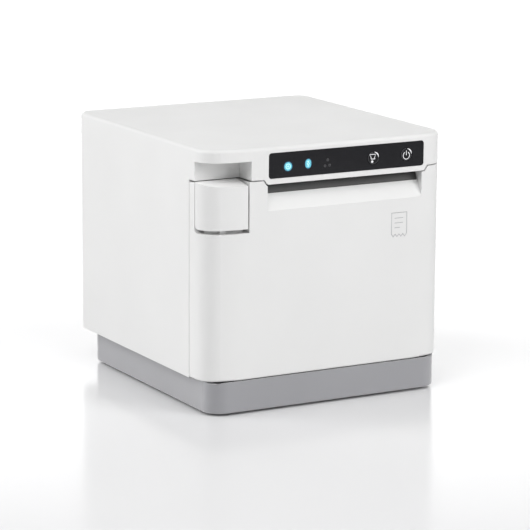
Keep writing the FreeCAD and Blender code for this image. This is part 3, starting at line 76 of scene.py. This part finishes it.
class Nodes:
    """A short way to build a material's node tree."""

    def __init__(self, name):
        self.material = bpy.data.materials.new(name)
        self.material.use_nodes = True
        self.tree = self.material.node_tree
        self.shader = self.tree.nodes["Principled BSDF"]
        coords = self.tree.nodes.new("ShaderNodeTexCoord")
        self.place = coords.outputs["Object"]

    def node(self, kind, **values):
        made = self.tree.nodes.new(kind)
        for key, value in values.items():
            if key in made.inputs:
                made.inputs[key].default_value = value
            else:
                setattr(made, key, value)
        return made

    def link(self, source, target):
        self.tree.links.new(source, target)

    def noise(self, scale, detail=3.0, roughness=0.5, stretch=None):
        """Noise over the object's own place; scale is waves per metre."""
        made = self.node("ShaderNodeTexNoise", Scale=scale, Detail=detail, Roughness=roughness)
        place = self.place
        if stretch:
            mapping = self.node("ShaderNodeMapping", Scale=stretch)
            self.link(place, mapping.inputs["Vector"])
            place = mapping.outputs["Vector"]
        self.link(place, made.inputs["Vector"])
        return made.outputs["Fac"]

    def spread(self, value, low, high):
        """Map a 0.3 to 0.7 noise value onto a range."""
        made = self.node("ShaderNodeMapRange")
        made.inputs["From Min"].default_value = 0.3
        made.inputs["From Max"].default_value = 0.7
        made.inputs["To Min"].default_value = low
        made.inputs["To Max"].default_value = high
        self.link(value, made.inputs["Value"])
        return made.outputs["Result"]

    def mix(self, value, first, second):
        """Blend two colours by a value."""
        made = self.node("ShaderNodeMix", data_type="RGBA")
        self.link(value, made.inputs["Factor"])
        for socket in made.inputs:
            if socket.type == "RGBA" and socket.name == "A":
                socket.default_value = (*first, 1)
            if socket.type == "RGBA" and socket.name == "B":
                socket.default_value = (*second, 1)
        return [s for s in made.outputs if s.type == "RGBA"][0]

    def bump(self, height, distance, strength=1.0, onto=None):
        """Raise the surface by a height value times a distance in metres."""
        made = self.node("ShaderNodeBump", Strength=strength, Distance=distance)
        self.link(height, made.inputs["Height"])
        if onto is not None:
            self.link(onto, made.inputs["Normal"])
        return made.outputs["Normal"]

    def set(self, **values):
        for key, value in values.items():
            self.shader.inputs[key.replace("_", " ")].default_value = value


def moulded(name, light, dark, rough, shine=0.32, sheen=0.0):
    """Moulded plastic: a fine spark-eroded grain, faint flow in its colour and a slightly uneven sheen."""
    n = Nodes(name)
    n.link(n.mix(n.spread(n.noise(22.0, 2.0), 0.0, 1.0), dark, light), n.shader.inputs["Base Color"])
    n.link(n.spread(n.noise(60.0, 4.0), rough - 0.03, rough + 0.04), n.shader.inputs["Roughness"])
    fine = n.bump(n.noise(1800.0, 2.0), 0.00002, 0.5)
    n.link(n.bump(n.noise(35.0, 1.0), 0.00006, 0.25, fine), n.shader.inputs["Normal"])
    n.set(IOR=1.5, Specular_IOR_Level=shine, Sheen_Weight=sheen, Sheen_Roughness=0.5)
    return n.material


def gloss(name, colour, rough):
    """Polished black plastic with the faintest ripple and fine haze."""
    n = Nodes(name)
    lighter = tuple(min(1.0, c * 1.25 + 0.001) for c in colour)
    n.link(n.mix(n.spread(n.noise(30.0, 2.0), 0, 1), colour, lighter), n.shader.inputs["Base Color"])
    n.link(n.spread(n.noise(120.0, 5.0), rough, rough + 0.04), n.shader.inputs["Roughness"])
    n.link(n.bump(n.noise(40.0, 1.0), 0.00002, 0.2), n.shader.inputs["Normal"])
    n.set(IOR=1.5, Specular_IOR_Level=0.22)
    return n.material


def metal(name, colour, rough, grain=(1.0, 1.0, 1.0), scale=900.0, depth=0.00001):
    """Metal with a grain that runs the way its stretch is smallest."""
    n = Nodes(name)
    darker = tuple(c * 0.82 for c in colour)
    streaks = n.noise(scale, 4.0, 0.6, grain)
    n.link(n.mix(n.spread(streaks, 0, 1), darker, colour), n.shader.inputs["Base Color"])
    sheen = n.noise(scale * 0.4, 3.0, 0.5, grain)
    n.link(n.spread(sheen, rough - 0.06, rough + 0.1), n.shader.inputs["Roughness"])
    n.link(n.bump(streaks, depth, 0.4), n.shader.inputs["Normal"])
    n.set(Metallic=1.0)
    return n.material


def rubber(name, colour):
    """Matte rubber with a fine ground texture and dusty patches."""
    n = Nodes(name)
    dusty = tuple(c + 0.03 for c in colour)
    n.link(n.mix(n.spread(n.noise(80.0, 5.0), 0, 0.7), colour, dusty), n.shader.inputs["Base Color"])
    n.link(n.spread(n.noise(300.0, 3.0), 0.7, 0.9), n.shader.inputs["Roughness"])
    n.link(n.bump(n.noise(2500.0, 3.0), 0.00003, 0.7), n.shader.inputs["Normal"])
    return n.material


def board(name):
    """A circuit board: green solder mask with fine copper tracks showing under it."""
    n = Nodes(name)
    tracks = n.node("ShaderNodeTexBrick", Scale=260.0)
    tracks.inputs["Mortar Size"].default_value = 0.06
    mapping = n.node("ShaderNodeMapping", Rotation=(math.pi / 2, 0, 0))
    n.link(n.place, mapping.inputs["Vector"])
    n.link(mapping.outputs["Vector"], tracks.inputs["Vector"])
    tracks.inputs["Color1"].default_value = (0.010, 0.085, 0.035, 1)
    tracks.inputs["Color2"].default_value = (0.014, 0.110, 0.045, 1)
    tracks.inputs["Mortar"].default_value = (0.030, 0.190, 0.080, 1)
    n.link(tracks.outputs["Color"], n.shader.inputs["Base Color"])
    n.link(n.bump(tracks.outputs["Fac"], 0.00003, 0.5), n.shader.inputs["Normal"])
    n.link(n.spread(n.noise(200.0), 0.28, 0.4), n.shader.inputs["Roughness"])
    return n.material


def lamp(name, core, rim, power):
    """A lit lens: paler in the middle than at its edge."""
    n = Nodes(name)
    face = n.node("ShaderNodeLayerWeight", Blend=0.5)
    n.link(n.mix(face.outputs["Facing"], core, rim), n.shader.inputs["Emission Color"])
    n.link(n.spread(n.noise(900.0), 0.15, 0.25), n.shader.inputs["Roughness"])
    n.set(Emission_Strength=power, Base_Color=(*rim, 1))
    return n.material


def paint(name, colour, rough=0.4, glow=0.0):
    """Printed ink, slightly mottled at its own scale; glow makes it give off its own colour, which is a
    painted glow except on the lamp lenses.
    """
    n = Nodes(name)
    dim = tuple(c * 0.9 for c in colour)
    n.link(n.mix(n.spread(n.noise(1500.0, 3.0), 0, 1), dim, colour), n.shader.inputs["Base Color"])
    n.link(n.spread(n.noise(700.0), rough - 0.05, rough + 0.08), n.shader.inputs["Roughness"])
    n.set(Emission_Color=(*colour, 1), Emission_Strength=glow)
    return n.material


def build_materials():
    """Every material that the CAD nodes and the added pieces use, by name."""
    return {
        "white_shell": moulded("white_shell", (0.80, 0.80, 0.795), (0.78, 0.78, 0.775), 0.48),
        "grey_base": moulded("grey_base", (0.31, 0.31, 0.328), (0.298, 0.298, 0.315), 0.36, 0.5, 0.9),
        "dark_plastic": moulded("dark_plastic", (0.10, 0.10, 0.098), (0.085, 0.085, 0.085), 0.5),
        "socket_black": moulded("socket_black", (0.02, 0.02, 0.021), (0.014, 0.014, 0.015), 0.4),
        "gear_plastic": moulded("gear_plastic", (0.72, 0.70, 0.64), (0.66, 0.64, 0.58), 0.4),
        "flat_cable": moulded("flat_cable", (0.62, 0.62, 0.58), (0.55, 0.55, 0.52), 0.35),
        "head_ceramic": moulded("head_ceramic", (0.55, 0.48, 0.38), (0.48, 0.42, 0.33), 0.15),
        "panel_gloss": gloss("panel_gloss", (0.004, 0.004, 0.006), 0.08),
        "sheet_steel": metal("sheet_steel", (0.62, 0.62, 0.60), 0.32, (1, 0.08, 1)),
        "turned_steel": metal("turned_steel", (0.66, 0.66, 0.66), 0.2, (1, 0.1, 0.1)),
        "spring_steel": metal("spring_steel", (0.45, 0.45, 0.46), 0.3),
        "blade_steel": metal("blade_steel", (0.55, 0.55, 0.57), 0.22, (1, 1, 0.06)),
        "motor_can": metal("motor_can", (0.52, 0.52, 0.50), 0.35, (1, 0.2, 1)),
        "brass_pinion": metal("brass_pinion", (0.72, 0.52, 0.22), 0.25),
        "heat_sink": metal("heat_sink", (0.72, 0.72, 0.73), 0.35, (0.06, 1, 1)),
        "socket_metal": metal("socket_metal", (0.66, 0.66, 0.67), 0.25, (1, 0.1, 1)),
        "foot_rubber": rubber("foot_rubber", (0.02, 0.02, 0.02)),
        "roller_rubber": rubber("roller_rubber", (0.03, 0.03, 0.032)),
        "board_green": board("board_green"),
        "lamp_lens": lamp("lamp_lens", (0.15, 0.48, 0.54), (0.03, 0.24, 0.33), 0.85),
        # white ink for the printed icons; the same ink draws the painted highlights on the key rims, and its
        # faint glow is a painted glow
        "white_ink_and_highlight": paint("white_ink_and_highlight", (0.85, 0.85, 0.87), 0.4, 0.15),
        "dim_ink": paint("dim_ink", (0.03, 0.03, 0.034)),
        "mark_ink": paint("mark_ink", (0.48, 0.48, 0.5)),
        # painted glow of the lit lamps on the panel round their lenses
        "painted_glow_ink": paint("painted_glow_ink", (0.003, 0.035, 0.08), 0.3, 0.4),
        "lamp_core": paint("lamp_core", (0.42, 0.74, 0.78), 0.3, 0.75),
        # the shell's white made darker: painted shade in the seams
        "seam_shaded_white": moulded("seam_shaded_white", (0.70, 0.70, 0.69), (0.68, 0.68, 0.67), 0.5),
        # faint painted sheen along the keys' rims
        "rim_sheen_ink": paint("rim_sheen_ink", (0.045, 0.045, 0.05)),
    }


MATERIALS = build_materials()


def dress_cad_nodes():
    """Give each CAD node the material of its slot."""
    slots = {row["node"]: row["material_slot"] for row in frame["record"]["subparts"]}
    for name, obj in frame["nodes"].items():
        material = MATERIALS[slots[name]]
        if not obj.material_slots:
            obj.data.materials.append(material)
        for held in obj.material_slots:
            held.material = material


# ---- piece helpers ---------------------------------------------------------

def piece_from(bm, name, material, body):
    """Turn a bmesh into a named piece that rides on a body."""
    bmesh.ops.recalc_face_normals(bm, faces=bm.faces)
    mesh = bpy.data.meshes.new(name)
    bm.to_mesh(mesh)
    bm.free()
    obj = bpy.data.objects.new(name, mesh)
    bpy.context.scene.collection.objects.link(obj)
    mesh.materials.append(MATERIALS[material])
    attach(obj, body)


def stroke(bm, points, width, y0, y1, closed=False):
    """Add a flat line of even width through (x, z) points, standing between two y planes."""
    count = len(points)
    rows = []
    for i, (x, z) in enumerate(points):
        before = points[(i - 1) % count] if closed or i > 0 else points[i]
        after = points[(i + 1) % count] if closed or i < count - 1 else points[i]
        along = Vector((after[0] - before[0], after[1] - before[1])).normalized()
        side = Vector((-along.y, along.x)) * width / 2
        rows.append([bm.verts.new((x + s * side.x, y, z + s * side.y)) for s in (1, -1) for y in (y0, y1)])
    spans = count if closed else count - 1
    for i in range(spans):
        a, b = rows[i], rows[(i + 1) % count]
        bm.faces.new((a[0], b[0], b[2], a[2]))
        bm.faces.new((a[1], a[3], b[3], b[1]))
        bm.faces.new((a[0], a[1], b[1], b[0]))
        bm.faces.new((a[2], b[2], b[3], a[3]))
    if not closed:
        for end in (rows[0], rows[-1]):
            bm.faces.new((end[0], end[2], end[3], end[1]))


def arc_points(x, z, r, a0, a1, steps):
    """Points on an arc in the front plane; angles in degrees from +X towards +Z."""
    turn = [math.radians(a0 + (a1 - a0) * k / steps) for k in range(steps + 1)]
    return [(x + r * math.cos(a), z + r * math.sin(a)) for a in turn]


def disc(bm, x, z, rx, rz, y0, y1, steps=32):
    """A flat oval button of two y planes."""
    ring = [(x + rx * math.cos(2 * math.pi * k / steps), z + rz * math.sin(2 * math.pi * k / steps))
            for k in range(steps)]
    near = [bm.verts.new((px, y0, pz)) for px, pz in ring]
    far = [bm.verts.new((px, y1, pz)) for px, pz in ring]
    bm.faces.new(near)
    bm.faces.new(list(reversed(far)))
    for k in range(steps):
        bm.faces.new((near[k], far[k], far[(k + 1) % steps], near[(k + 1) % steps]))


def crescent(bm, x, z, r, a0, a1, widest, y0, y1, steps=24):
    """A curved sliver that is widest half way along its arc."""
    outer = []
    inner = []
    for k in range(steps + 1):
        a = math.radians(a0 + (a1 - a0) * k / steps)
        half = widest / 2 * math.sin(math.pi * k / steps) + 0.02 * MM
        outer.append((x + (r + half) * math.cos(a), z + (r + half) * math.sin(a)))
        inner.append((x + (r - half) * math.cos(a), z + (r - half) * math.sin(a)))
    loop = outer + inner[::-1]
    near = [bm.verts.new((px, y0, pz)) for px, pz in loop]
    far = [bm.verts.new((px, y1, pz)) for px, pz in loop]
    count = len(loop)
    for k in range(steps):
        quad = (k, k + 1, count - 2 - k, count - 1 - k)
        bm.faces.new([near[i] for i in quad])
        bm.faces.new([far[i] for i in reversed(quad)])
    for k in range(count):
        bm.faces.new((near[k], far[k], far[(k + 1) % count], near[(k + 1) % count]))


# ---- marks, painted highlights and painted glow on the control panel -------

def centre_of(node):
    """A node's centre in the front plane, and the plane of its front."""
    low_corner, high_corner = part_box(node)
    middle = (low_corner + high_corner) / 2
    return middle.x, middle.z, low_corner.y


def painted_key_highlight(bm, x, z, y):
    """A painted highlight: a bright sliver of ink at the upper right of a key's dished rim."""
    crescent(bm, x, z, KEY_RIM_R, 0, 82, 0.55 * MM, y - INK, y + SUNK)


def make_painted_rim_sheen(name, x, z, y, body):
    """The edge of a key's dish drawn as a faint painted sheen, most of the way round."""
    bm = bmesh.new()
    stroke(bm, arc_points(x, z, KEY_RIM_R, 95, 350, 40), 0.22 * MM, y - INK, y + SUNK)
    piece_from(bm, name, "rim_sheen_ink", body)


def make_power_icon_and_highlight():
    """The standby symbol: an open ring with an upright bar, plus a painted highlight and a painted sheen on
    the key's rim.
    """
    x, z, y = centre_of("power_button")
    bm = bmesh.new()
    stroke(bm, arc_points(x, z - 0.5 * MM, 1.75 * MM, 120, 420, 40), 0.32 * MM, y - INK, y + SUNK)
    stroke(bm, [(x, z - 0.4 * MM), (x, z + 1.8 * MM)], 0.32 * MM, y - INK, y + SUNK)
    # painted highlight at the upper right of the key's rim, in the icon's ink
    painted_key_highlight(bm, x, z, y)
    piece_from(bm, "power_icon_and_highlight", "white_ink_and_highlight", "power_key")
    # faint painted sheen round the rest of the key's rim
    make_painted_rim_sheen("power_rim_sheen", x, z, y, "power_key")


def make_feed_icon_and_highlight():
    """A paper feed symbol: a sheet on a bar, with a drop under it, plus a painted highlight and a painted
    sheen on the key's rim.
    """
    x, z, y = centre_of("feed_button")
    bm = bmesh.new()
    y0, y1 = y - INK, y + SUNK
    sheet = [(-2.2, 1.7), (1.1, 1.7), (0.5, -0.2), (1.0, -0.5), (-1.2, -0.5), (-1.4, 0.5)]
    stroke(bm, [(x + px * MM, z + pz * MM) for px, pz in sheet], 0.36 * MM, y0, y1, closed=True)
    disc(bm, x - 0.65 * MM, z - 1.75 * MM, 0.6 * MM, 0.6 * MM, y0, y1)
    # painted highlight at the upper right of the key's rim, in the icon's ink
    painted_key_highlight(bm, x, z, y)
    piece_from(bm, "feed_icon_and_highlight", "white_ink_and_highlight", "feed_key")
    # faint painted sheen round the rest of the key's rim
    make_painted_rim_sheen("feed_rim_sheen", x, z, y, "feed_key")


def make_lamp_marks():
    """A pale glyph at each lit lamp, a dark blue painted glow on the panel round each lens, and a group of
    three unlit ones.
    """
    low_corner, high_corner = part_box("light_pipes")
    y = low_corner.y
    panel_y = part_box("control_panel")[0].y
    left = low_corner.x + LENS_COLLAR + ROUND_LENS.x
    left_z = low_corner.z + LENS_COLLAR + ROUND_LENS.y
    right = high_corner.x - LENS_COLLAR - SLOT_LENS.x
    right_z = high_corner.z - LENS_COLLAR - SLOT_LENS.y
    bm = bmesh.new()
    stroke(bm, arc_points(left, left_z, 1.15 * MM, 0, 360, 30), 0.35 * MM, y - INK, y + SUNK)
    disc(bm, left, left_z, 0.45 * MM, 0.45 * MM, y - INK, y + SUNK)
    stroke(bm, arc_points(right, right_z, 0.5 * MM, 0, 360, 24), 0.3 * MM, y - INK, y + SUNK)
    for z in (right_z + 1.1 * MM, right_z - 1.1 * MM):
        stroke(bm, [(right - 0.45 * MM, z), (right + 0.45 * MM, z)], 0.45 * MM, y - INK, y + SUNK)
    piece_from(bm, "lamp_glyphs", "lamp_core", "chassis")
    bm = bmesh.new()
    for x, z, lens in ((left, left_z, ROUND_LENS), (right, right_z, SLOT_LENS)):
        glow_ring = [(x + (lens.x + 0.22 * MM) * math.cos(a), z + (lens.y + 0.22 * MM) * math.sin(a))
                for a in (2 * math.pi * k / 40 for k in range(40))]
        # painted glow on the panel round each lit lamp
        stroke(bm, glow_ring, 0.4 * MM, panel_y - INK * 0.5, panel_y + SUNK, closed=True)
    piece_from(bm, "painted_lamp_glow", "painted_glow_ink", "chassis")
    bm = bmesh.new()
    for dx, dz in ((0.2, 1.7), (-1.3, -1.0), (1.2, -0.9)):
        disc(bm, right + UNLIT_OFFSET + dx * MM, right_z + (dz - 0.7) * MM, 0.75 * MM, 0.75 * MM,
             panel_y - INK, panel_y + SUNK)
    piece_from(bm, "unlit_lamps", "dim_ink", "chassis")


# ---- receipt mark on the door -----------------------------------------------

def make_mark_inlay():
    """Pale paint in the door's engraved receipt: an outline with a torn foot and three lines."""
    low_corner, high_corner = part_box("front_door")
    y0 = low_corner.y + 0.08 * MM
    y1 = low_corner.y + 0.19 * MM
    x0, x1 = MARK_X
    z0, z1 = MARK_Z
    bm = bmesh.new()
    tooth = (x1 - x0) / MARK_TEETH
    torn_z = z0 + 1.3 * MM
    outline = [(x1, z1), (x0, z1), (x0, torn_z)]
    for k in range(MARK_TEETH):
        outline.append((x0 + tooth * (k + 0.5), z0))
        outline.append((x0 + tooth * (k + 1), torn_z))
    stroke(bm, outline, MARK_LINE, y0, y1, closed=True)
    for k, share in enumerate((0.7, 0.7, 0.45)):
        z = z1 - (2.6 + 2.3 * k) * MM
        left = x0 + 1.6 * MM
        stroke(bm, [(left, z), (left + share * (x1 - left), z)], MARK_LINE, y0, y1)
    piece_from(bm, "mark_inlay", "mark_ink", "door")


# ---- moulded tongues in the seams ---------------------------------------------

def add_block(bm, low_corner, high_corner):
    """Add a plain box between two corners."""
    made = bmesh.ops.create_cube(bm, size=1.0)["verts"]
    low_corner, high_corner = Vector(low_corner), Vector(high_corner)
    for vert in made:
        share = vert.co + Vector((0.5, 0.5, 0.5))
        vert.co = low_corner + Vector(a * b for a, b in zip(share, high_corner - low_corner))


def make_seam_tongues():
    """The cover's low tongues that close the upright seams beside the door, in a darker white that paints
    shade into the seams.
    """
    low_corner, high_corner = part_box("casing")
    bm = bmesh.new()
    for edge, inward in ((low_corner.x, 1), (high_corner.x, -1)):
        near = edge + inward * 0.35 * MM
        far = edge + inward * 1.6 * MM
        add_block(bm, (min(near, far), DOOR_SEAM_Y + 0.06 * MM, TONGUE_Z[0]),
                  (max(near, far), DOOR_SEAM_Y + 0.46 * MM, TONGUE_Z[1]))
    # darker white: painted shade in the seam
    piece_from(bm, "seam_tongues", "seam_shaded_white", "chassis")


# ---- stage, light and camera -----------------------------------------------

def make_floor():
    """A plain pale table with a soft sheen, under the object."""
    bm = bmesh.new()
    bmesh.ops.create_grid(bm, x_segments=1, y_segments=1, size=6.0)
    mesh = bpy.data.meshes.new("floor")
    bm.to_mesh(mesh)
    bm.free()
    floor = bpy.data.objects.new("floor", mesh)
    bpy.context.scene.collection.objects.link(floor)
    n = Nodes("floor")
    drift = n.spread(n.noise(3.0), 0, 1)
    n.link(n.mix(drift, (0.80, 0.80, 0.81), (0.82, 0.82, 0.825)), n.shader.inputs["Base Color"])
    n.link(n.spread(n.noise(8.0), 0.16, 0.2), n.shader.inputs["Roughness"])
    mesh.materials.append(n.material)


def soft_box(name, turn, climb, distance, width, height, radiance, aim_z=0.06):
    """A soft rectangular light at an angle round from the front to the left, and above the table."""
    a = math.radians(turn)
    e = math.radians(climb)
    aim = Vector((0, 0, aim_z))
    out = Vector((-math.sin(a) * math.cos(e), -math.cos(a) * math.cos(e), math.sin(e)))
    data = bpy.data.lights.new(name, "AREA")
    data.shape = "RECTANGLE"
    data.size = width
    data.size_y = height
    data.energy = radiance * math.pi * width * height
    obj = bpy.data.objects.new(name, data)
    obj.location = out * distance + Vector((0, 0, 0.06))
    obj.rotation_euler = (aim - obj.location).to_track_quat("-Z", "Y").to_euler()
    bpy.context.scene.collection.objects.link(obj)


def make_lights():
    """A dim pale room with soft boxes: behind on the left, front right, two high up, and a far white wall."""
    world = bpy.data.worlds.new("studio")
    world.use_nodes = True
    world.node_tree.nodes["Background"].inputs["Color"].default_value = (1, 1, 1, 1)
    world.node_tree.nodes["Background"].inputs["Strength"].default_value = 0.22
    bpy.context.scene.world = world
    bpy.context.scene.view_settings.view_transform = "Standard"
    soft_box("left_box", 121, 20, 1.8, 0.9, 0.9, 6.3)
    soft_box("right_box", -40, 20, 1.8, 0.9, 0.9, 5.3)
    soft_box("high_left_box", 60, 50, 1.8, 0.9, 0.9, 4.6)
    soft_box("high_front_box", -12, 50, 1.8, 0.9, 0.9, 3.0)
    soft_box("back_wall", -151, 9, 3.5, 6.0, 1.1, 1.9, aim_z=0.6)


def make_camera():
    """A long lens, from the front left and a little above."""
    data = bpy.data.cameras.new("camera")
    data.lens = CAMERA_LENS
    data.sensor_width = 36.0
    obj = bpy.data.objects.new("camera", data)
    back = Vector((math.sin(CAMERA_AZIMUTH) * math.cos(CAMERA_ELEVATION),
                   -math.cos(CAMERA_AZIMUTH) * math.cos(CAMERA_ELEVATION), math.sin(CAMERA_ELEVATION)))
    obj.location = CAMERA_AIM + back * CAMERA_DISTANCE
    turn = (-back).to_track_quat("-Z", "Y")
    obj.rotation_mode = "QUATERNION"
    obj.rotation_quaternion = turn
    obj.rotation_quaternion.rotate(Quaternion(back, CAMERA_ROLL))
    bpy.context.scene.collection.objects.link(obj)
    bpy.context.scene.camera = obj


# ---- build -----------------------------------------------------------------

dress_cad_nodes()
make_seam_tongues()
make_power_icon_and_highlight()
make_feed_icon_and_highlight()
make_lamp_marks()
make_mark_inlay()
make_floor()
make_lights()
make_camera()
